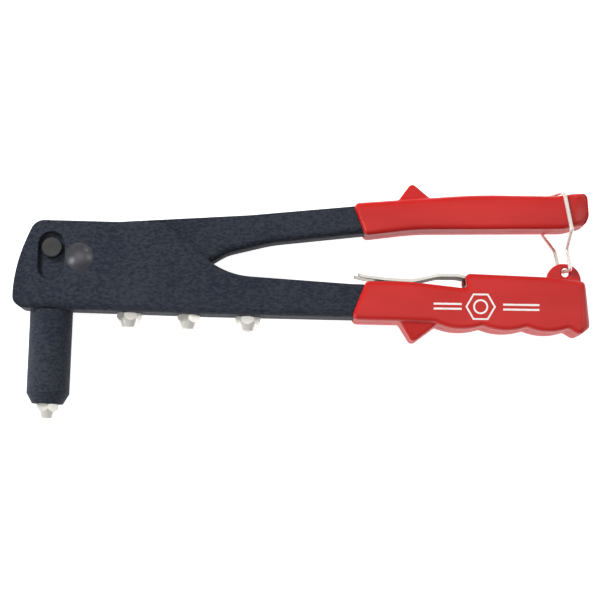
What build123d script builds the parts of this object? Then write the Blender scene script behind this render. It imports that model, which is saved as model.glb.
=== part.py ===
from build123d import *
import math
import os

# Hand riveter with two pressed-steel handles, lying on its side with the handles latched shut.
# Everything is drawn in millimetres about the handle pivot: X runs along the handles towards their
# ends, Y from the nose towards the moving handle, and Z is the thickness, 0 at the middle plane.
# The exported parts are moved so that the origin is under the middle of the whole tool.

# ---- overall ---------------------------------------------------------------------------------------
LEFT_END = -29.6            # left edge of the frame
RIGHT_END = 233.06          # end of the lower grip
NOSE_END = -73.8            # tip of the fitted nosepiece
TOP_END = 38.66             # tip of the upper grip's guard
HALF_THICKNESS = 13.75      # side of the lower grip, which the tool lies on
THROUGH = 60.0              # long enough to cut right through any part

# ---- frame: a U channel with its web towards the nose ----------------------------------------------
SHEET = 2.5
FOLD = 3.4                  # outside radius of the folds
FRAME_WIDTH = 22.0
FRAME_TOP = 16.6
FRAME_CORNER = 5.5          # below the left edge
SHEET_EDGE = 0.5            # softened edges of the pressed sheet
WEB = -24.2                 # outer face of the web at the head
WEB_END = -22.8             # and at the end of the handle
HANDLE_END = 229.0
FRAME_UNDER = ((LEFT_END, WEB, 0), (60.0, WEB, 0), (125.0, -23.5, 0), (HANDLE_END, WEB_END, 0))
FRAME_UPPER = (
    (HANDLE_END, -8.8, 0),
    (124.0, -8.4, 0),
    (66.9, -6.1, 35.0),
    (38.2, FRAME_TOP, 2.0),
    (-20.7, FRAME_TOP - 0.4, 6.5),
    (LEFT_END, -5.5, 70.0),
)
SLOT_CENTRE = (-12.6, -0.15)
SLOT_LENGTH = 22.1
SLOT_WIDTH = 11.9
SLOT_EDGE = 0.7             # rounded rim

# ---- moving handle: a narrower U channel inside the frame ------------------------------------------
LEVER_WIDTH = 16.4
LEVER_END = 219.0
HEAD_RADIUS = 20.5          # round head of the cheeks
LEVER_WEB_START = 42.0
LEVER_UNDER = (
    (6.0, -19.6, 0),
    (50.0, -6.6, 20.0),
    (67.0, 4.3, 20.0),
    (87.2, 9.75, 60.0),
    (155.0, 19.0, 120.0),
    (LEVER_END, 21.6, 0),
)
LEVER_TOP = (
    (LEVER_END, 33.6, 0),
    (165.0, 32.0, 0),
    (125.0, 27.7, 0),
    (77.0, 21.9, 0),
    (-40.0, 11.9, 0),
)

# ---- pivot and link pin ----------------------------------------------------------------------------
RIVET_RADIUS = 4.0
RIVET_HEAD_RADIUS = 6.45
RUNNING_CLEARANCE = 0.06
PIN_CENTRE = (-12.6, 3.85)
PIN_RADIUS = 4.75
PIN_LENGTH = 22.8
PIN_CHAMFER = 0.5

# ---- barrel and nosepieces -------------------------------------------------------------------------
AXIS_X = -12.6              # pulling axis
BARREL_RADIUS = 9.8
BARREL_BORE = 7.3
SPIGOT_RADIUS = 8.3
SPIGOT_TOP = -20.4
BARREL_FLOOR = -58.5
BARREL_SHOULDER = -62.5     # where the end cone starts
BARREL_END = -67.2
BARREL_END_RADIUS = 7.1
NOSE_FLATS = 10.0           # hexagon, across flats
NOSE_HEX_HEIGHT = 6.6
NOSE_CONE_HEIGHT = 4.6
NOSE_TIP_RADIUS = 3.55
NOSE_STEM_RADIUS = 4.0
NOSE_STEM_LENGTH = 10.0
NOSE_STEM_TIP = 2.7
NOSE_STEM_TAPER = 1.2
NOSE_CHAMFER = 0.8
FITTED_BORE = 1.05          # for 3.2 mm rivets
FITTED_TURN = 20.0          # how far round it happens to be screwed
SPARE_BORES = (0.85, 1.3, 1.55)
SPARE_TURNS = (-10.0, 28.0, 0.0)     # and each spare
FIRST_SPARE_X = 23.2
SPARE_PITCH = 27.2
COLLAR_RADIUS = 6.0         # threaded collar drawn up out of the web
COLLAR_TOP = -18.6

# ---- pull head, jaw case and jaws ------------------------------------------------------------------
PULL_HEAD_THICKNESS = 10.6
PULL_EYE_RADIUS = 8.2
PULL_HOLE_LENGTH = 11.4     # across the pulling axis, for the pin's arc
PULL_HOLE_WIDTH = 10.2
PULL_STEM_RADIUS = 5.0
PULL_STEM_END = -29.0
PULL_BORE = 1.9
LOCKNUT_TOP = -20.0
LOCKNUT_RADIUS = 6.8
LOCKNUT_FLATS = 11.8
CASE_TOP = -23.0
CASE_BOTTOM = -46.6
CASE_RADIUS = 7.0
CASE_CAVITY = 5.9
CASE_MOUTH = 3.4
CASE_CHAMFER = 1.2
JAW_ANGLE = 15.0            # half angle of the cone
JAW_LENGTH = 6.0
JAW_LIFT = 0.4              # jaw tips above the case's mouth
JAW_CLEARANCE = 0.08
JAW_SPLIT = 0.3
JAW_GROOVE = 0.8            # for the mandrel
JAW_TEETH = 6
TOOTH_DEPTH = 0.45
TOOTH_SLOPE = 0.8           # share of each tooth's pitch
PUSHER_GAP = 0.06
PUSHER_STEPS = ((4.8, 2.9), (5.6, 1.5), (3.3, 2.2))     # radius and height, from the jaws up
SPRING_WIRE = 0.35          # its radius
SPRING_GAP = 0.03
SPRING_RADIUS = 4.5
SPRING_TURNS = 4

# ---- grips -----------------------------------------------------------------------------------------
UPPER_GRIP_WIDTH = 23.0
LOWER_GRIP_WIDTH = 2 * HALF_THICKNESS
GRIP_EDGE = 2.0             # rounding of the grips' long edges
GUARD_EDGE = 0.9
GUARD_SETBACK = 1.0         # guards are this much narrower than their grips
GUARD_TIP_WIDTH = 17.0      # and narrow towards their tips
UPPER_GRIP = (
    (129.9, 14.2, 2.4),
    (153.0, 17.7, 120.0),
    (221.5, 20.3, 12.0),
    (230.6, 22.8, 2.4),
    (232.2, 26.5, 6.0),
    (231.2, 37.3, 2.4),
    (224.0, 36.6, 8.0),
    (217.0, 35.3, 12.0),
    (180.0, 34.6, 250.0),
    (123.9, 28.9, 2.1),
)
UPPER_GUARD = ((142.0, 26.0, 0), (161.0, 26.0, 0), (159.0, 32.6, 0), (150.6, 39.6, 2.0), (145.3, 31.9, 0))
LOWER_GRIP = (
    (124.4, -25.0, 2.4),
    (147.0, -24.7, 30.0),
    (222.8, -25.2, 0),
    (228.6, -28.6, 2.6),
    (233.2, -24.6, 2.4),
    (230.6, -3.9, 2.4),
    (213.8, -2.4, 60.0),
    (175.4, -2.0, 2.1),
    (177.2, -8.8, 1.0),
    (150.0, -6.5, 60.0),
    (130.9, -6.9, 2.4),
)
LOWER_GUARD = ((144.5, -20.0, 0), (146.9, -24.8, 0), (152.8, -34.4, 2.0), (163.5, -25.8, 0), (166.0, -20.0, 0))
SCALLOPS = ((164.2, 184.4), (184.4, 204.6), (204.6, 223.4))     # where the finger lobes start and end
SCALLOP_BASE = -25.55
SCALLOP_DEPTH = 1.9
CUSP_ROUNDING = 1.2
LOBE_OVERLAP = 3.0          # how far the lobes reach up into the grip
LOBE_RUNOUT = 5.0           # and the end lobes along it
HANDLE_MOUTH = 177.2        # the lower grip is open on top from its start to here
STORAGE_SLOT_END = 214.5
STORAGE_SLOT = (-5.4, -3.3)     # its floor and roof
STORAGE_SLOT_WIDTH = 15.1
SLOT_FLARE = ((173.0, -1.4), (184.0, -3.3))     # its roof rises towards its mouth
LUG_CENTRE = (222.2, -2.7)
LUG_RADIUS = 8.0
LUG_THICKNESS = 3.6
LUG_EDGE = 0.8
LUG_FOOT = -5.0             # buried in the grip
LUG_HOLE = (222.8, 1.3)
LUG_HOLE_WIDTH = 3.6
LUG_HOLE_HEIGHT = 4.6

# ---- latch bail ------------------------------------------------------------------------------------
BAIL_WIRE = 0.9             # its radius
BAIL_PIVOT = (222.8, 1.9)   # at the top of the lug's hole
BAIL_LEAN = 12.5            # towards the head
BAIL_TWIST = 22.0           # out of square with the handles
BAIL_HALF = (
    (0.9, 0.0, 0),
    (5.2, 0.0, 1.6),
    (5.6, 9.8, 2.5),
    (13.5, 18.2, 2.5),
    (13.5, 36.0, 3.0),
)
BAIL_REAR_DROP = 0.9        # the far side reaches this much less high over the grip

# ---- nosepiece wrench, a bent spring-steel strip ---------------------------------------------------
WRENCH_WIDTH = 14.5
WRENCH_SHEET = 1.3
WRENCH_JAW = NOSE_FLATS + 0.25
WRENCH_JAW_DEPTH = 11.0
WRENCH_JAW_TURN = 8.0      # the jaw is cut askew
WRENCH_END_CUT = 1.0
WRENCH_LINE = (
    (125.8, -3.2, 0),
    (130.5, -4.3, 10.0),
    (140.0, -5.2, 25.0),
    (152.5, -5.6, 14.0),
    (164.0, -2.6, 14.0),
    (173.0, -2.4, 14.0),
    (183.0, -4.4, 14.0),
    (213.5, -4.4, 0),
)

# ---- shape helpers ---------------------------------------------------------------------------------
def outline(*corners):
    """A closed face from corners (x, y, rounding radius)."""
    points = [(x, y) for x, y, _ in corners]
    radii = [radius for _, _, radius in corners]
    return make_face(FilletPolyline(*points, radius=radii, close=True))

def parallel(corners, distance):
    """The same open line moved sideways: to its left when distance is positive."""
    moved = []
    for index, (x, y, radius) in enumerate(corners):
        before = corners[max(index - 1, 0)]
        after = corners[min(index + 1, len(corners) - 1)]
        heading_in = math.atan2(y - before[1], x - before[0]) if index else None
        heading_out = math.atan2(after[1] - y, after[0] - x) if after[:2] != (x, y) else heading_in
        heading_in = heading_out if heading_in is None else heading_in
        half_turn = (heading_out - heading_in) / 2
        side = heading_in + half_turn + math.pi / 2
        reach = distance / math.cos(half_turn)
        bend = radius - math.copysign(1.0, half_turn) * distance
        moved.append((x + reach * math.cos(side), y + reach * math.sin(side), bend if radius else 0))
    return moved

def plate(face, thickness):
    """The face made thick, half to each side of the middle plane."""
    return extrude(face, thickness / 2, both=True)

def block(x0, x1, y0, y1, width):
    return Pos((x0 + x1) / 2, (y0 + y1) / 2, 0) * Box(x1 - x0, y1 - y0, width)

def rod_z(x, y, radius, length):
    return Pos(x, y, 0) * Cylinder(radius, length)

def rod_y(x, low, high, radius):
    """A rod along Y from low to high."""
    return Pos(x, (low + high) / 2, 0) * Rot(X=90) * Cylinder(radius, high - low)

def turned(x, profile):
    """A solid turned about a line along Y through x, from half-profile corners (radius, y)."""
    return Pos(x, 0, 0) * revolve(make_face(Polyline(*profile, close=True)), Axis.Y)

def obround(centre, length, width, thickness, angle=90.0):
    return Pos(*centre, 0) * Rot(Z=angle) * plate(SlotOverall(length, width), thickness)

def side_edges(body, near=lambda x, y: True):
    """The edges that stay on one side of the middle plane, where near(x, y) holds at their middle."""
    chosen = []
    for edge in body.edges():
        box = edge.bounding_box()
        middle = edge.position_at(0.5)
        if (box.min.Z > 1.0 or box.max.Z < -1.0) and near(middle.X, middle.Y):
            chosen.append(edge)
    return chosen

def height_on(corners, x):
    """Height of a left-to-right line at x, ignoring its rounded corners."""
    for (x0, y0, _), (x1, y1, _) in zip(corners, corners[1:]):
        if x <= x1 or (x1, y1) == corners[-1][:2]:
            return y0 + (y1 - y0) * (x - x0) / (x1 - x0)

def on_line(corners, tolerance=1.0):
    return lambda x, y: abs(y - height_on(corners, x)) < tolerance

def hollow_over(under, width, end):
    """The space inside a U channel: one sheet above the line of its underside, open at the top."""
    floor = parallel(under, SHEET)
    start = floor[0]
    left, right = start[0] - THROUGH, end + THROUGH
    corners = ((left, start[1], 0), *floor[1:-1], (right, floor[-1][1], 0))
    space = plate(outline(*corners, (right, THROUGH, 0), (left, THROUGH, 0)), width - 2 * SHEET)
    return fillet(side_edges(space, on_line(corners)), FOLD - SHEET)

# ---- pressed-steel handles -------------------------------------------------------------------------
def frame_face():
    return outline(*FRAME_UNDER, *FRAME_UPPER)

def in_slot(x, y):
    return math.dist((x, y), SLOT_CENTRE) < SLOT_LENGTH / 2 + SHEET_EDGE

def make_frame():
    body = plate(frame_face(), FRAME_WIDTH)
    body = fillet(side_edges(body, on_line(FRAME_UNDER)), FOLD)
    body = fillet(side_edges(body, lambda x, y: y > WEB_END or x < LEFT_END + 1), SHEET_EDGE)
    body &= plate(outline((LEFT_END, WEB, FRAME_CORNER), *FRAME_UNDER[1:], *FRAME_UPPER), FRAME_WIDTH)
    body -= obround(SLOT_CENTRE, SLOT_LENGTH, SLOT_WIDTH, THROUGH)
    body = fillet(side_edges(body, in_slot), SLOT_EDGE)
    body -= hollow_over(FRAME_UNDER, FRAME_WIDTH, HANDLE_END)
    body -= rod_z(0, 0, RIVET_RADIUS, THROUGH)
    body -= rod_y(AXIS_X, WEB - 1, WEB + SHEET + 1, SPIGOT_RADIUS)
    for number in range(len(SPARE_BORES)):
        x = FIRST_SPARE_X + number * SPARE_PITCH
        body += rod_y(x, WEB + SHEET / 2, COLLAR_TOP, COLLAR_RADIUS)
        body -= rod_y(x, WEB - 5, COLLAR_TOP + 1, NOSE_STEM_RADIUS)
    return body

def lever_arm_face(start):
    """Side view of the moving handle to the right of start."""
    under = [corner for corner in LEVER_UNDER if corner[0] > start]
    top = [corner for corner in LEVER_TOP if corner[0] > start]
    return outline(
        (start, height_on(LEVER_UNDER, start), 0),
        *under,
        *top,
        (start, height_on(tuple(reversed(LEVER_TOP)), start), 0),
    )

def make_moving_handle():
    arm = plate(lever_arm_face(LEVER_WEB_START), LEVER_WIDTH)
    arm = fillet(side_edges(arm, on_line(LEVER_UNDER)), FOLD)
    arm -= hollow_over(LEVER_UNDER, LEVER_WIDTH, LEVER_END)
    top_line = tuple(reversed(LEVER_TOP))
    root = outline(
        LEVER_UNDER[0],
        (LEVER_WEB_START + 1, height_on(LEVER_UNDER, LEVER_WEB_START + 1), 0),
        (LEVER_WEB_START + 1, height_on(top_line, LEVER_WEB_START + 1), 0),
        (0, height_on(top_line, 0), 0),
        (0, 0, 0),
    )
    left, right = top_line[0], top_line[1]
    above = outline(left, right, (right[0], THROUGH, 0), (left[0], THROUGH, 0))
    cheeks = plate(root, LEVER_WIDTH) + plate(Circle(HEAD_RADIUS), LEVER_WIDTH) - plate(above, THROUGH)
    cheeks -= plate(Circle(THROUGH), LEVER_WIDTH - 2 * SHEET)
    body = arm + cheeks
    body -= rod_z(0, 0, RIVET_RADIUS + RUNNING_CLEARANCE, THROUGH)
    body -= rod_z(*PIN_CENTRE, PIN_RADIUS, THROUGH)
    return body

def make_pivot_rivet():
    """Shank with a domed head on each side."""
    half = FRAME_WIDTH / 2
    height = HALF_THICKNESS - half
    ball = (RIVET_HEAD_RADIUS**2 + height**2) / (2 * height)
    head = Pos(0, 0, HALF_THICKNESS - ball) * Sphere(ball)
    head &= Pos(0, 0, half + height) * Box(THROUGH, THROUGH, 2 * height)
    return rod_z(0, 0, RIVET_RADIUS, FRAME_WIDTH) + head + mirror(head, Plane.XY)

def make_link_pin():
    pin = rod_z(*PIN_CENTRE, PIN_RADIUS, PIN_LENGTH)
    return chamfer(side_edges(pin), PIN_CHAMFER)

# ---- barrel and nosepieces -------------------------------------------------------------------------
def make_barrel():
    return turned(
        AXIS_X,
        (
            (BARREL_BORE, SPIGOT_TOP),
            (SPIGOT_RADIUS, SPIGOT_TOP),
            (SPIGOT_RADIUS, WEB),
            (BARREL_RADIUS, WEB),
            (BARREL_RADIUS, BARREL_SHOULDER),
            (BARREL_END_RADIUS, BARREL_END),
            (NOSE_STEM_RADIUS, BARREL_END),
            (NOSE_STEM_RADIUS, BARREL_FLOOR),
            (BARREL_BORE, BARREL_FLOOR),
        ),
    )

def make_nosepiece(x, seat, bore, turn):
    """Hexagonal nosepiece screwed up into a hole, its shoulder at seat."""
    tip = seat - NOSE_HEX_HEIGHT
    corners = RegularPolygon(NOSE_FLATS / 2, 6, major_radius=False)
    hexagon = Pos(x, seat, 0) * Rot(X=90) * Rot(Z=turn) * extrude(corners, NOSE_HEX_HEIGHT)
    across_corners = NOSE_FLATS / math.cos(math.radians(30)) / 2
    hexagon &= turned(
        x,
        (
            (0, tip),
            (NOSE_TIP_RADIUS, tip),
            (across_corners, tip + NOSE_CONE_HEIGHT),
            (across_corners, seat - NOSE_CHAMFER / 2),
            (across_corners - NOSE_CHAMFER, seat),
            (0, seat),
        ),
    )
    end = seat + NOSE_STEM_LENGTH
    stem = turned(
        x,
        (
            (0, seat - NOSE_CHAMFER),
            (NOSE_STEM_RADIUS, seat - NOSE_CHAMFER),
            (NOSE_STEM_RADIUS, end - NOSE_STEM_TAPER),
            (NOSE_STEM_TIP, end),
            (0, end),
        ),
    )
    return hexagon + stem - rod_y(x, tip - 1, end + 1, bore)

# ---- pulling parts ---------------------------------------------------------------------------------
def make_pull_head():
    """Flat eye round the link pin, and the threaded stem under it."""
    eye = rod_z(*PIN_CENTRE, PULL_EYE_RADIUS, PULL_HEAD_THICKNESS)
    stem = rod_y(AXIS_X, PULL_STEM_END, PIN_CENTRE[1] - 2, PULL_STEM_RADIUS)
    body = eye + stem - rod_y(AXIS_X, PULL_STEM_END - 1, PIN_CENTRE[1], PULL_BORE)
    return body - obround(PIN_CENTRE, PULL_HOLE_LENGTH, PULL_HOLE_WIDTH, THROUGH, angle=0)

def make_locknut():
    """Round nut with two spanner flats."""
    nut = rod_y(AXIS_X, CASE_TOP, LOCKNUT_TOP, LOCKNUT_RADIUS)
    nut &= block(AXIS_X - LOCKNUT_FLATS / 2, AXIS_X + LOCKNUT_FLATS / 2, CASE_TOP, LOCKNUT_TOP, THROUGH)
    return nut - rod_y(AXIS_X, CASE_TOP - 1, LOCKNUT_TOP + 1, PULL_STEM_RADIUS)

def cone_radius(y):
    """Radius of the jaw case's inner cone at height y."""
    return CASE_MOUTH + (y - CASE_BOTTOM) * math.tan(math.radians(JAW_ANGLE))

def make_jaw_case():
    cone_top = CASE_BOTTOM + (CASE_CAVITY - CASE_MOUTH) / math.tan(math.radians(JAW_ANGLE))
    return turned(
        AXIS_X,
        (
            (CASE_MOUTH, CASE_BOTTOM),
            (CASE_RADIUS - CASE_CHAMFER, CASE_BOTTOM),
            (CASE_RADIUS, CASE_BOTTOM + CASE_CHAMFER),
            (CASE_RADIUS, CASE_TOP),
            (PULL_STEM_RADIUS, CASE_TOP),
            (PULL_STEM_RADIUS, PULL_STEM_END),
            (CASE_CAVITY, PULL_STEM_END),
            (CASE_CAVITY, cone_top),
        ),
    )

def make_jaw(side):
    """Half of a split cone with a toothed groove; side is +1 for the right jaw, -1 for the left."""
    tip = CASE_BOTTOM + JAW_LIFT
    top = tip + JAW_LENGTH
    pitch = JAW_LENGTH / JAW_TEETH
    groove = []
    for tooth in range(JAW_TEETH):
        groove.append((JAW_GROOVE, top - tooth * pitch))
        groove.append((JAW_GROOVE + TOOTH_DEPTH, top - (tooth + TOOTH_SLOPE) * pitch))
    cone = turned(
        AXIS_X,
        (
            (cone_radius(tip) - JAW_CLEARANCE, tip),
            (cone_radius(top) - JAW_CLEARANCE, top),
            *groove,
            (JAW_GROOVE, tip),
        ),
    )
    near, far = JAW_SPLIT / 2, 2 * CASE_RADIUS
    left, right = sorted((AXIS_X + side * near, AXIS_X + side * far))
    return cone & block(left, right, tip - 1, top + 1, THROUGH)

def pusher_levels():
    """Heights of the pusher's steps, from its foot up."""
    levels = [CASE_BOTTOM + JAW_LIFT + JAW_LENGTH + PUSHER_GAP]
    for _, height in PUSHER_STEPS:
        levels.append(levels[-1] + height)
    return levels

def make_jaw_pusher():
    levels = pusher_levels()
    body = Part()
    for (radius, _), low, high in zip(PUSHER_STEPS, levels, levels[1:]):
        body += rod_y(AXIS_X, low, high, radius)
    return body - rod_y(AXIS_X, levels[0] - 1, levels[-1] + 1, PULL_BORE)

def make_jaw_spring():
    low = pusher_levels()[2] + SPRING_WIRE + SPRING_GAP
    height = PULL_STEM_END - SPRING_WIRE - SPRING_GAP - low
    path = Helix(pitch=height / SPRING_TURNS, height=height, radius=SPRING_RADIUS)
    wire = sweep(Plane(path @ 0, z_dir=path % 0) * Circle(SPRING_WIRE), path=path, is_frenet=True)
    return Pos(AXIS_X, low, 0) * Rot(X=-90) * wire

# ---- grips -----------------------------------------------------------------------------------------
def guard(corners, width):
    """Pointed finger guard, narrower at its tip, with softened edges."""
    root = corners[0][1]
    tip = max(corners, key=lambda corner: abs(corner[1] - root))[1]
    half_root = (width - GUARD_SETBACK) / 2
    half_tip = GUARD_TIP_WIDTH / 2
    taper = Plane.YZ * make_face(
        Polyline((root, half_root), (tip, half_tip), (tip, -half_tip), (root, -half_root), close=True)
    )
    body = plate(outline(*corners), THROUGH) & Pos(corners[0][0], 0, 0) * extrude(taper, THROUGH, both=True)
    return fillet(side_edges(body, lambda x, y: abs(y - root) > 1.5), GUARD_EDGE)

def make_upper_grip():
    body = plate(outline(*UPPER_GRIP), UPPER_GRIP_WIDTH)
    body = fillet(side_edges(body), GRIP_EDGE)
    body += guard(UPPER_GUARD, UPPER_GRIP_WIDTH)
    return body - plate(lever_arm_face(LEVER_WEB_START), LEVER_WIDTH)

def finger_lobes():
    """Shallow round lobes hanging below the grip, meeting in cusps."""
    lobes = Sketch()
    for index, (start, end) in enumerate(SCALLOPS):
        half = (end - start) / 2
        radius = (half**2 + SCALLOP_DEPTH**2) / (2 * SCALLOP_DEPTH)
        disc = Pos(start + half, SCALLOP_BASE - SCALLOP_DEPTH + radius) * Circle(radius)
        left = start if index else start - LOBE_RUNOUT
        right = end if end != SCALLOPS[-1][1] else end + LOBE_RUNOUT
        window = Pos((left + right) / 2, SCALLOP_BASE) * Rectangle(right - left, 2 * LOBE_OVERLAP)
        lobes += disc & window
    return lobes

def make_lower_grip():
    face = outline(*LOWER_GRIP) + finger_lobes()
    cusps = [v for v in face.vertices() if abs(v.Y - SCALLOP_BASE) < 0.5 and v.X > LOWER_GUARD[2][0]]
    face = fillet(cusps, CUSP_ROUNDING)
    body = fillet(side_edges(plate(face, LOWER_GRIP_WIDTH)), GRIP_EDGE)
    body += guard(LOWER_GUARD, LOWER_GRIP_WIDTH)
    lug = rod_z(*LUG_CENTRE, LUG_RADIUS, LUG_THICKNESS)
    lug &= block(LUG_CENTRE[0] - THROUGH, LUG_CENTRE[0] + THROUGH, LUG_FOOT, THROUGH, THROUGH)
    body += fillet(side_edges(lug, lambda x, y: y > 0), LUG_EDGE)
    body -= obround(LUG_HOLE, LUG_HOLE_HEIGHT, LUG_HOLE_WIDTH, THROUGH)
    body -= plate(frame_face(), FRAME_WIDTH)
    body -= block(0, HANDLE_MOUTH, WEB_END, LEVER_UNDER[-1][1], FRAME_WIDTH - 2 * SHEET)
    body -= block(HANDLE_MOUTH - 5, STORAGE_SLOT_END, *STORAGE_SLOT, STORAGE_SLOT_WIDTH)
    (start, high), (end, low) = SLOT_FLARE
    return body - plate(outline((start, low, 0), (end, low, 0), (start, high, 0)), STORAGE_SLOT_WIDTH)

# ---- wire and strip --------------------------------------------------------------------------------
def make_latch_bail():
    """One loop of spring wire; its two ends meet in the lug's hole."""
    twist, lean = math.radians(BAIL_TWIST), math.radians(BAIL_LEAN)
    across = Vector(math.sin(twist), 0, math.cos(twist))
    up = Vector(-math.sin(lean), math.cos(lean), 0)
    skew = across.dot(up)
    rise = math.sqrt(1 - skew**2)
    top = BAIL_HALF[-1]
    rear = [*BAIL_HALF[:-1], (top[0], top[1] - BAIL_REAR_DROP, top[2])]
    loop = [*BAIL_HALF, *((-x, y, radius) for x, y, radius in reversed(rear))]
    points = [(x + skew * y, rise * y) for x, y, _ in loop]
    path = FilletPolyline(*points, radius=[radius for _, _, radius in loop[1:-1]])
    wire = sweep(Plane(path @ 0, z_dir=path % 0) * Circle(BAIL_WIRE), path=path)
    return Plane((*BAIL_PIVOT, 0), x_dir=across, z_dir=across.cross(up)).location * wire

def make_wrench():
    """Strip with an open jaw at its free end, its tail in the grip's slot."""
    upper = parallel(WRENCH_LINE, WRENCH_SHEET / 2)
    lower = parallel(WRENCH_LINE, -WRENCH_SHEET / 2)
    body = plate(outline(*lower, *reversed(upper)), WRENCH_WIDTH)
    start = WRENCH_LINE[0][0]
    turn = Pos(start, 0, 0) * Rot(Y=WRENCH_JAW_TURN)
    length = WRENCH_LINE[-1][0] - start
    body &= turn * Pos(length, 0, 0) * Box(2 * (length - WRENCH_END_CUT), THROUGH, THROUGH)
    return body - turn * Box(2 * WRENCH_JAW_DEPTH, THROUGH, WRENCH_JAW)

# ---- assembly --------------------------------------------------------------------------------------
def make_parts():
    parts = {
        "frame": make_frame(),
        "moving_handle": make_moving_handle(),
        "pivot_rivet": make_pivot_rivet(),
        "link_pin": make_link_pin(),
        "nose_barrel": make_barrel(),
        "fitted_nosepiece": make_nosepiece(AXIS_X, BARREL_END, FITTED_BORE, FITTED_TURN),
        "pull_head": make_pull_head(),
        "locknut": make_locknut(),
        "jaw_case": make_jaw_case(),
        "jaw_left": make_jaw(-1),
        "jaw_right": make_jaw(1),
        "jaw_pusher": make_jaw_pusher(),
        "jaw_spring": make_jaw_spring(),
        "upper_grip": make_upper_grip(),
        "lower_grip": make_lower_grip(),
        "latch_bail": make_latch_bail(),
        "nosepiece_wrench": make_wrench(),
    }
    for number, (bore, turn) in enumerate(zip(SPARE_BORES, SPARE_TURNS)):
        x = FIRST_SPARE_X + number * SPARE_PITCH
        parts[f"spare_nosepiece_{number + 1}"] = make_nosepiece(x, WEB, bore, turn)
    return parts

def main():
    os.makedirs("parts", exist_ok=True)
    to_origin = Pos(-(LEFT_END + RIGHT_END) / 2, -(NOSE_END + TOP_END) / 2, HALF_THICKNESS)
    for name, body in make_parts().items():
        placed = to_origin * body
        placed.label = name
        export_step(placed, f"parts/{name}.step")

main()
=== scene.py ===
import math

import bmesh
import bpy
import numpy as np
from mathutils import Matrix, Vector
from mathutils.bvhtree import BVHTree


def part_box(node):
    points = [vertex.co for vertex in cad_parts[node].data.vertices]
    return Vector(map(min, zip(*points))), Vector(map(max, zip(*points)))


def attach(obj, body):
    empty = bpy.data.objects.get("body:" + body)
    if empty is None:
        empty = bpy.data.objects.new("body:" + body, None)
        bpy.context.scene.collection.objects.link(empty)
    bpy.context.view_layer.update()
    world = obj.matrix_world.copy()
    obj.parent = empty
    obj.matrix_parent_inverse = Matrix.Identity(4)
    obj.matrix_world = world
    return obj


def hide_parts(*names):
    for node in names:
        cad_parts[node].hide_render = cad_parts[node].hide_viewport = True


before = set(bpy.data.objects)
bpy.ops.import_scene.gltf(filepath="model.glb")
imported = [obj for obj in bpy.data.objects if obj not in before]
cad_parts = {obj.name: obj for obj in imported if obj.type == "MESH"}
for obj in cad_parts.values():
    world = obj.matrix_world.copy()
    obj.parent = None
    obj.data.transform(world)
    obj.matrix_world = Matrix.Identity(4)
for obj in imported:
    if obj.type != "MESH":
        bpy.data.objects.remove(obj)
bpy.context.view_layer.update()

# Everything is in metres in the part's own frame: X along the tool from the head to the handle ends,
# Y from the nose towards the moving handle, Z up out of the floor that the tool lies on.
MM = 0.001
WHITE = (1.0, 1.0, 1.0, 1.0)


# ---- camera, floor and light ------------------------------------------------------------------------
CAMERA_DISTANCE = 0.9
CAMERA_TARGET = Vector((-0.00049, 0.00208, 0.01375))
CAMERA_TILT = math.radians(5.9)     # towards the nose side
CAMERA_ROLL = math.radians(1.95)
CAMERA_LENS = 117.4
FLOOR_GLOW = 0.86
FLOOR_HALF = 3.0
WORLD_GLOW = ((0.0, 0.5), (1.0, 1.0), (0.25, 0.32), (0.45, 0.16), (0.80, 0.28), (0.93, 0.72))   # height, level
LIGHTS = (                          # name, place, size, power; all look at the origin
    ("key_light", (-0.75, 0.70, 0.85), (0.45, 0.45), 16.5),
    ("head_light", (-0.78, -0.36, 0.62), (0.30, 0.50), 2.5),
    ("end_light", (0.45, 0.70, 0.55), (0.22, 0.22), 0.4),
    ("right_light", (1.00, 0.05, 0.70), (0.5, 0.7), 1.6),
)


def make_camera():
    back = Vector((0.0, -math.sin(CAMERA_TILT), math.cos(CAMERA_TILT)))
    along = Vector((1.0, 0.0, 0.0))
    up = back.cross(along)
    right = along * math.cos(CAMERA_ROLL) + up * math.sin(CAMERA_ROLL)
    above = back.cross(right)
    place = CAMERA_TARGET + back * CAMERA_DISTANCE
    data = bpy.data.cameras.new("camera")
    data.lens = CAMERA_LENS
    data.sensor_width = 36.0
    data.clip_start = 0.01
    data.clip_end = 20.0
    camera = bpy.data.objects.new("camera", data)
    bpy.context.scene.collection.objects.link(camera)
    camera.matrix_world = Matrix((
        (right.x, above.x, back.x, place.x),
        (right.y, above.y, back.y, place.y),
        (right.z, above.z, back.z, place.z),
        (0.0, 0.0, 0.0, 1.0),
    ))
    bpy.context.scene.camera = camera


def make_area_light(name, place, size, power):
    data = bpy.data.lights.new(name, "AREA")
    data.shape = "RECTANGLE"
    data.size, data.size_y = size
    data.energy = power
    light = bpy.data.objects.new(name, data)
    bpy.context.scene.collection.objects.link(light)
    light.location = place
    light.rotation_euler = (-Vector(place)).to_track_quat("-Z", "Y").to_euler()
    light.visible_glossy = name != "key_light"      # the key leaves no highlight


def make_world():
    """Pale surroundings: bright straight overhead, dim at mid height and pale again low down."""
    world = bpy.data.worlds.new("studio")
    bpy.context.scene.world = world
    world.use_nodes = True
    nodes, links = world.node_tree.nodes, world.node_tree.links
    direction = nodes.new("ShaderNodeTexCoord")
    height = nodes.new("ShaderNodeSeparateXYZ")
    links.new(direction.outputs["Generated"], height.inputs["Vector"])
    glow = nodes.new("ShaderNodeValToRGB")
    glow.color_ramp.interpolation = "EASE"
    for index, (place, level) in enumerate(WORLD_GLOW):
        stops = glow.color_ramp.elements
        stop = stops[index] if index < 2 else stops.new(place)
        stop.position = place
        stop.color = (level, level, level, 1.0)
    links.new(height.outputs["Z"], glow.inputs["Fac"])
    links.new(glow.outputs["Color"], nodes["Background"].inputs["Color"])


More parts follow.
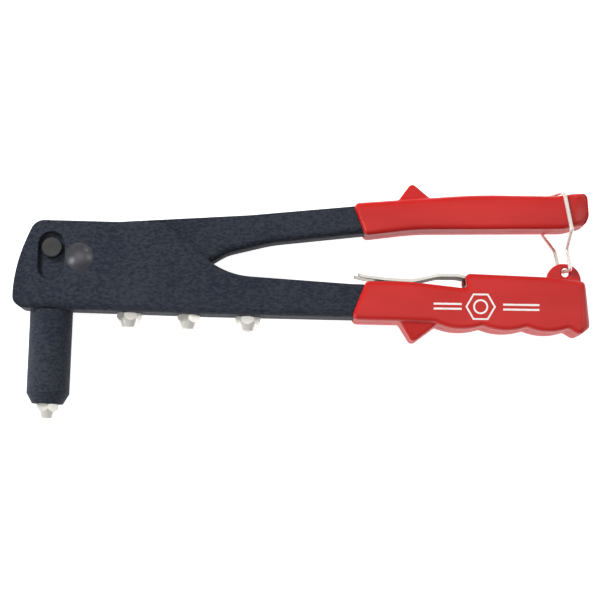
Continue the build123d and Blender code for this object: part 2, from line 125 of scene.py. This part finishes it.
def make_studio():
    make_world()
    for light in LIGHTS:
        make_area_light(*light)
    mesh = bpy.data.meshes.new("floor")
    corners = [(-FLOOR_HALF, -FLOOR_HALF, 0), (FLOOR_HALF, -FLOOR_HALF, 0),
               (FLOOR_HALF, FLOOR_HALF, 0), (-FLOOR_HALF, FLOOR_HALF, 0)]
    mesh.from_pydata(corners, [], [(0, 1, 2, 3)])
    floor = bpy.data.objects.new("floor", mesh)
    bpy.context.scene.collection.objects.link(floor)
    floor.data.materials.append(floor_material())
    bpy.context.scene.view_settings.view_transform = "Standard"


# ---- materials --------------------------------------------------------------------------------------
class Material:
    """A node material built up call by call around one Principled shader."""

    def __init__(self, name, **sockets):
        self.material = bpy.data.materials.new(name)
        self.material.use_nodes = True
        self.tree = self.material.node_tree
        self.shader = self.tree.nodes["Principled BSDF"]
        for socket, value in sockets.items():
            self.shader.inputs[socket.replace("_", " ")].default_value = value
        coordinates = self.add("ShaderNodeTexCoord")
        self.place = coordinates.outputs["Object"]
        self.normal = coordinates.outputs["Normal"]

    def add(self, kind, **settings):
        node = self.tree.nodes.new(kind)
        for key, value in settings.items():
            setattr(node, key, value)
        return node

    def link(self, output, socket):
        self.tree.links.new(output, socket)

    def noise(self, scale, detail=2.0, roughness=0.5, distortion=0.0, stretch=None):
        node = self.add("ShaderNodeTexNoise")
        node.inputs["Scale"].default_value = scale
        node.inputs["Detail"].default_value = detail
        node.inputs["Roughness"].default_value = roughness
        node.inputs["Distortion"].default_value = distortion
        self.link(self.stretched(stretch) if stretch else self.place, node.inputs["Vector"])
        return node.outputs["Fac"]

    def stretched(self, factors):
        node = self.add("ShaderNodeMapping")
        node.inputs["Scale"].default_value = factors
        self.link(self.place, node.inputs["Vector"])
        return node.outputs["Vector"]

    def spread(self, value, low, high, start=0.35, end=0.65):
        """value between start and end, turned into a number between low and high."""
        node = self.add("ShaderNodeMapRange")
        node.inputs["From Min"].default_value = start
        node.inputs["From Max"].default_value = end
        node.inputs["To Min"].default_value = low
        node.inputs["To Max"].default_value = high
        self.link(value, node.inputs["Value"])
        return node.outputs["Result"]

    def blend(self, value, first, second, start=0.35, end=0.65):
        """A colour between first and second as value goes from start to end."""
        ramp = self.add("ShaderNodeValToRGB")
        ramp.color_ramp.elements[0].position = start
        ramp.color_ramp.elements[0].color = (*first, 1.0)
        ramp.color_ramp.elements[1].position = end
        ramp.color_ramp.elements[1].color = (*second, 1.0)
        self.link(value, ramp.inputs["Fac"])
        return ramp.outputs["Color"]

    def facing(self, axis):
        """1 where the surface faces along the axis of the object itself, 0 where it faces across it."""
        split = self.add("ShaderNodeSeparateXYZ")
        self.link(self.normal, split.inputs["Vector"])
        size = self.add("ShaderNodeMath", operation="ABSOLUTE")
        self.link(split.outputs[axis], size.inputs[0])
        return size.outputs["Value"]

    def mix(self, value, first, second, start=0.35, end=0.65):
        """One colour output where value is low and the other where it is high."""
        node = self.add("ShaderNodeMix", data_type="RGBA")
        self.link(self.spread(value, 0.0, 1.0, start, end), node.inputs["Factor"])
        self.link(first, node.inputs["A"])
        self.link(second, node.inputs["B"])
        return node.outputs["Result"]

    def sum(self, first, second, weight):
        node = self.add("ShaderNodeMath", operation="MULTIPLY_ADD")
        self.link(second, node.inputs[0])
        node.inputs[1].default_value = weight
        self.link(first, node.inputs[2])
        return node.outputs["Value"]

    def colour(self, output):
        self.link(output, self.shader.inputs["Base Color"])

    def roughness(self, output):
        self.link(output, self.shader.inputs["Roughness"])

    def bump(self, height, depth, strength=1.0):
        node = self.add("ShaderNodeBump")
        node.inputs["Strength"].default_value = strength
        node.inputs["Distance"].default_value = depth
        self.link(height, node.inputs["Height"])
        self.link(node.outputs["Normal"], self.shader.inputs["Normal"])


def floor_material():
    """A pale light table, which glows a little from below."""
    paper = Material("floor_paper", Roughness=0.8, Specular_IOR_Level=0.2)
    paper.colour(paper.blend(paper.noise(6.0), (0.72, 0.72, 0.72), (0.76, 0.76, 0.76)))
    paper.shader.inputs["Emission Color"].default_value = WHITE
    paper.shader.inputs["Emission Strength"].default_value = FLOOR_GLOW
    return paper.material


def powder_coat():
    """Dark blue-grey wrinkle coat, like fine leather."""
    coat = Material("powder_coat", Specular_IOR_Level=0.1)
    wrinkle = coat.noise(1000.0, detail=2.0, roughness=0.6, distortion=0.6, stretch=(0.5, 1.0, 1.0))
    fine = coat.noise(1300.0, detail=3.0, roughness=0.6)
    cloud = coat.sum(wrinkle, coat.noise(35.0, detail=3.0), 0.3)
    mottle = coat.spread(cloud, 0.0, 1.0, 0.55, 0.75)
    coat.colour(coat.blend(mottle, (0.019, 0.023, 0.035), (0.037, 0.042, 0.054), 0.0, 1.0))
    coat.roughness(coat.spread(fine, 0.52, 0.72))
    coat.bump(coat.sum(wrinkle, fine, 0.3), 0.42 * MM, strength=1.0)
    return coat.material


def red_vinyl():
    """Soft vinyl with faint waves and a fine skin, glossier on the flat sides than round the edges."""
    vinyl = Material("red_vinyl")
    cloud = vinyl.noise(70.0, detail=2.0, stretch=(0.3, 1.0, 1.0))
    vinyl.colour(vinyl.blend(cloud, (0.48, 0.009, 0.007), (0.55, 0.015, 0.012)))
    flat = vinyl.facing("Z")
    vinyl.link(vinyl.spread(flat, 0.12, 0.5, 0.1, 0.8), vinyl.shader.inputs["Specular IOR Level"])
    vinyl.roughness(vinyl.sum(vinyl.spread(flat, 0.32, 0.24, 0.1, 0.8), vinyl.noise(120.0, detail=4.0), 0.15))
    waves = vinyl.noise(45.0, detail=1.0)
    skin = vinyl.noise(900.0, detail=3.0)
    vinyl.bump(vinyl.sum(waves, skin, 0.03), 0.25 * MM, strength=0.35)
    return vinyl.material


def white_ink():
    ink = Material("white_ink", Specular_IOR_Level=0.4)
    ink.colour(ink.blend(ink.noise(500.0, detail=3.0), (0.80, 0.77, 0.75), (0.88, 0.86, 0.84)))
    ink.roughness(ink.spread(ink.noise(900.0), 0.35, 0.5))
    return ink.material


def metal(name, light, dark, rough, streaks, depth=0.01, metallic=1.0, sides=None):
    """Bare or plated metal with streaks along one direction, given as stretch factors.

    sides is (axis, share): faces that do not look along that axis have their colour scaled by share, which is
    painted shade on those faces, and the whole piece reflects less at grazing angles.
    """
    tint = (sides[1] / 2,) * 3 + (1.0,) if sides else WHITE
    steel = Material(name, Metallic=metallic, Specular_Tint=tint)
    cloud = steel.noise(60.0, detail=4.0)
    colour = steel.blend(cloud, dark, light)
    if sides:
        axis, share = sides
        # painted shade: faces across the axis get the same tones darkened by share
        across = steel.blend(cloud, *(tuple(level * share for level in tone) for tone in (dark, light)))
        colour = steel.mix(steel.facing(axis), across, colour)
    steel.colour(colour)
    grain = steel.noise(900.0, detail=4.0, stretch=streaks)
    steel.roughness(steel.spread(grain, rough - 0.05, rough + 0.07))
    steel.bump(grain, depth * MM, strength=0.4)
    return steel.material


# ---- vinyl grips ------------------------------------------------------------------------------------
GRIP_VOXEL = 0.55 * MM
GRIP_SMOOTHING = 5
MID_HEIGHT = 0.01375                # middle plane of the tool
FLAT_TOLERANCE = 0.3 * MM
SLICE = 2.0 * MM
TUCK_FROM, TUCK_TO = 0.72, 0.95     # share of the half width over which the tuck grows to its full size
PARTING_RIDGE = 0.16 * MM           # where the two halves of the mould met
PARTING_WIDTH = 0.55 * MM


def soft_copy(name, node):
    """The node's shape as one fine, even, softly rounded mesh."""
    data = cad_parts[node].data.copy()
    piece = bpy.data.objects.new(name, data)
    bpy.context.scene.collection.objects.link(piece)
    even = piece.modifiers.new("even", "REMESH")
    even.mode = "VOXEL"
    even.voxel_size = GRIP_VOXEL
    soft = piece.modifiers.new("soft", "SMOOTH")
    soft.factor = 0.5
    soft.iterations = GRIP_SMOOTHING
    shape = piece.evaluated_get(bpy.context.evaluated_depsgraph_get())
    piece.data = bpy.data.meshes.new_from_object(shape)
    piece.modifiers.clear()
    for polygon in piece.data.polygons:
        polygon.use_smooth = True
    return piece


def ramp(value, start, end):
    """0 before start, 1 after end, smooth between, for whole arrays."""
    share = np.clip((value - start) / (end - start), 0.0, 1.0)
    return share * share * (3.0 - 2.0 * share)


def finish_grip(piece, node, crown, end_start, end_tuck):
    """Crowns the flat sides, thins the far end like a bulb and raises the mould's parting line.

    Nothing goes outside the node's own box.
    """
    low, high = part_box(node)
    half_width = (high.z - low.z) / 2
    count = len(piece.data.vertices)
    places, normals = np.zeros(count * 3, np.float32), np.zeros(count * 3, np.float32)
    piece.data.vertices.foreach_get("co", places)
    piece.data.vertices.foreach_get("normal", normals)
    places, normals = places.reshape(-1, 3), normals.reshape(-1, 3)
    side = places[:, 2] - MID_HEIGHT
    flat = np.abs(side) > half_width - FLAT_TOLERANCE
    stations = np.arange(places[flat, 0].min(), places[flat, 0].max(), SLICE)
    spans = []
    for station in stations:
        heights = places[flat & (np.abs(places[:, 0] - station) < SLICE), 1]
        spans.append(((heights.min() + heights.max()) / 2, (heights.max() - heights.min()) / 2))
    middle = np.interp(places[:, 0], stations, [span[0] for span in spans])
    half_height = np.interp(places[:, 0], stations, [span[1] for span in spans])
    across = np.minimum(np.abs(places[:, 1] - middle) / half_height, 1.0)
    tuck = crown * across ** 2 + end_tuck * ramp(places[:, 0], end_start, high.x) ** 2
    outer = ramp(np.abs(side), TUCK_FROM * half_width, TUCK_TO * half_width)
    ridge = PARTING_RIDGE * np.exp(-((side / PARTING_WIDTH) ** 2)) * (np.abs(normals[:, 2]) < 0.5)
    places[:, 2] -= np.sign(side) * tuck * outer
    places = np.clip(places + normals * ridge[:, None], np.array(low, np.float32), np.array(high, np.float32))
    piece.data.vertices.foreach_set("co", places.ravel())
    piece.data.update()


def make_grip(name, node, body, material, **shape):
    grip = soft_copy(name, node)
    finish_grip(grip, node, **shape)
    grip.data.materials.clear()
    grip.data.materials.append(material)
    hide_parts(node)
    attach(grip, body)
    return grip


# ---- plain printed mark on the lower grip: a hexagon nut between pairs of stripes --------------------
MARK_MIDDLE = (81.4 * MM, 0.4 * MM)
MARK_TILT = math.radians(1.1)
NUT_RINGS = ((6, 6.9, 6.0), (24, 3.4, 2.6))                # sides, outer and inner radius in mm
STRIPES = (                         # from, to, height in mm
    (-21.3, -8.6, 1.1),
    (-21.3, -8.6, -1.1),
    (10.2, 26.6, 1.1),
    (10.2, 26.6, -1.1),
)
RING_CUTS = 48                      # pieces in each ring
STRIPE_CUTS = 24
STRIPE_HALF = 0.45
INK = 0.05 * MM
PROBE_HEIGHT = 0.05


def ring_faces(mesh, sides, outer, inner):
    """A flat ring of quads in mm, cut into short pieces so that it can follow the grip."""
    cuts = RING_CUTS // sides
    loops = []
    for radius in (outer, inner):
        turns = [2 * math.pi * k / sides for k in range(sides)]
        corners = [Vector((math.cos(turn), math.sin(turn))) * radius for turn in turns]
        loop = [corners[k].lerp(corners[(k + 1) % sides], step / cuts)
                for k in range(sides) for step in range(cuts)]
        loops.append([mesh.verts.new((point.x, point.y, 0.0)) for point in loop])
    count = len(loops[0])
    for k in range(count):
        after = (k + 1) % count
        mesh.faces.new((loops[0][k], loops[0][after], loops[1][after], loops[1][k]))


def stripe_faces(mesh, start, end, height):
    stations = [start + (end - start) * k / STRIPE_CUTS for k in range(STRIPE_CUTS + 1)]
    rows = [[mesh.verts.new((x, height + offset, 0.0)) for x in stations]
            for offset in (-STRIPE_HALF, STRIPE_HALF)]
    for k in range(STRIPE_CUTS):
        mesh.faces.new((rows[0][k], rows[0][k + 1], rows[1][k + 1], rows[1][k]))


def make_mark(grip, material):
    flat = bmesh.new()
    for sides, outer, inner in NUT_RINGS:
        ring_faces(flat, sides, outer, inner)
    for start, end, height in STRIPES:
        stripe_faces(flat, start, end, height)
    corners = [vertex.co for vertex in grip.data.vertices]
    surface = BVHTree.FromPolygons(corners, [polygon.vertices for polygon in grip.data.polygons])
    for vertex in flat.verts:
        flat_place = Vector((vertex.co.x, vertex.co.y)) * MM
        turned = Matrix.Rotation(MARK_TILT, 2) @ flat_place
        x, y = MARK_MIDDLE[0] + turned.x, MARK_MIDDLE[1] + turned.y
        hit = surface.ray_cast(Vector((x, y, PROBE_HEIGHT)), Vector((0.0, 0.0, -1.0)))[0]
        vertex.co = (x, y, hit.z)
    bmesh.ops.recalc_face_normals(flat, faces=flat.faces)
    bmesh.ops.solidify(flat, geom=flat.faces, thickness=INK)
    for vertex in flat.verts:
        vertex.co.z += INK / 2
    data = bpy.data.meshes.new("grip_mark")
    flat.to_mesh(data)
    mark = bpy.data.objects.new("grip_mark", data)
    bpy.context.scene.collection.objects.link(mark)
    data.materials.append(material)
    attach(mark, "fixed_handle")


def assign(material, *nodes):
    for name in nodes:
        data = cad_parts[name].data
        data.materials.clear()
        data.materials.append(material)


make_camera()
make_studio()

assign(powder_coat(), "frame", "moving_handle", "nose_barrel")
vinyl = red_vinyl()
assign(vinyl, "upper_grip", "lower_grip")
make_grip("upper_grip_skin", "upper_grip", "moving_handle", vinyl,
          crown=0.45 * MM, end_start=120.5 * MM, end_tuck=2.6 * MM)
lower_skin = make_grip("lower_grip_skin", "lower_grip", "fixed_handle", vinyl,
                       crown=0.35 * MM, end_start=126.0 * MM, end_tuck=1.6 * MM)
make_mark(lower_skin, white_ink())
assign(metal("nickel", (0.99, 0.97, 0.91), (0.93, 0.90, 0.83), 0.20, (1, 0.2, 1), metallic=0.5),
       "fitted_nosepiece", "spare_nosepiece_1", "spare_nosepiece_2", "spare_nosepiece_3")
assign(metal("rivet_steel", (0.165, 0.165, 0.18), (0.115, 0.115, 0.13), 0.36, (1, 1, 0.2), metallic=0.8),
       "pivot_rivet")
# painted shade: the pin's round side is darkened to give the shade ring round the pin, while its end faces
# keep their tone
assign(metal("pin_steel", (0.13, 0.13, 0.13), (0.09, 0.09, 0.09), 0.40, (1, 1, 0.2), sides=("Z", 0.35)),
       "link_pin")
assign(metal("spring_wire", (0.97, 0.93, 0.86), (0.88, 0.84, 0.77), 0.28, (1, 0.1, 1), metallic=0.55),
       "latch_bail")
# painted shade: faces of the strip that do not look up or down are darkened to give the shadow between the
# strip and the grip
assign(metal("plated_strip", (0.92, 0.89, 0.82), (0.84, 0.81, 0.74), 0.26, (0.1, 1, 1), sides=("Z", 0.4)),
       "nosepiece_wrench")
assign(metal("plain_steel", (0.45, 0.45, 0.46), (0.36, 0.36, 0.37), 0.35, (1, 0.2, 1)),
       "pull_head", "locknut", "jaw_case", "jaw_pusher", "jaw_spring")
assign(metal("tool_steel", (0.34, 0.34, 0.36), (0.26, 0.26, 0.28), 0.40, (1, 0.2, 1)), "jaw_left", "jaw_right")
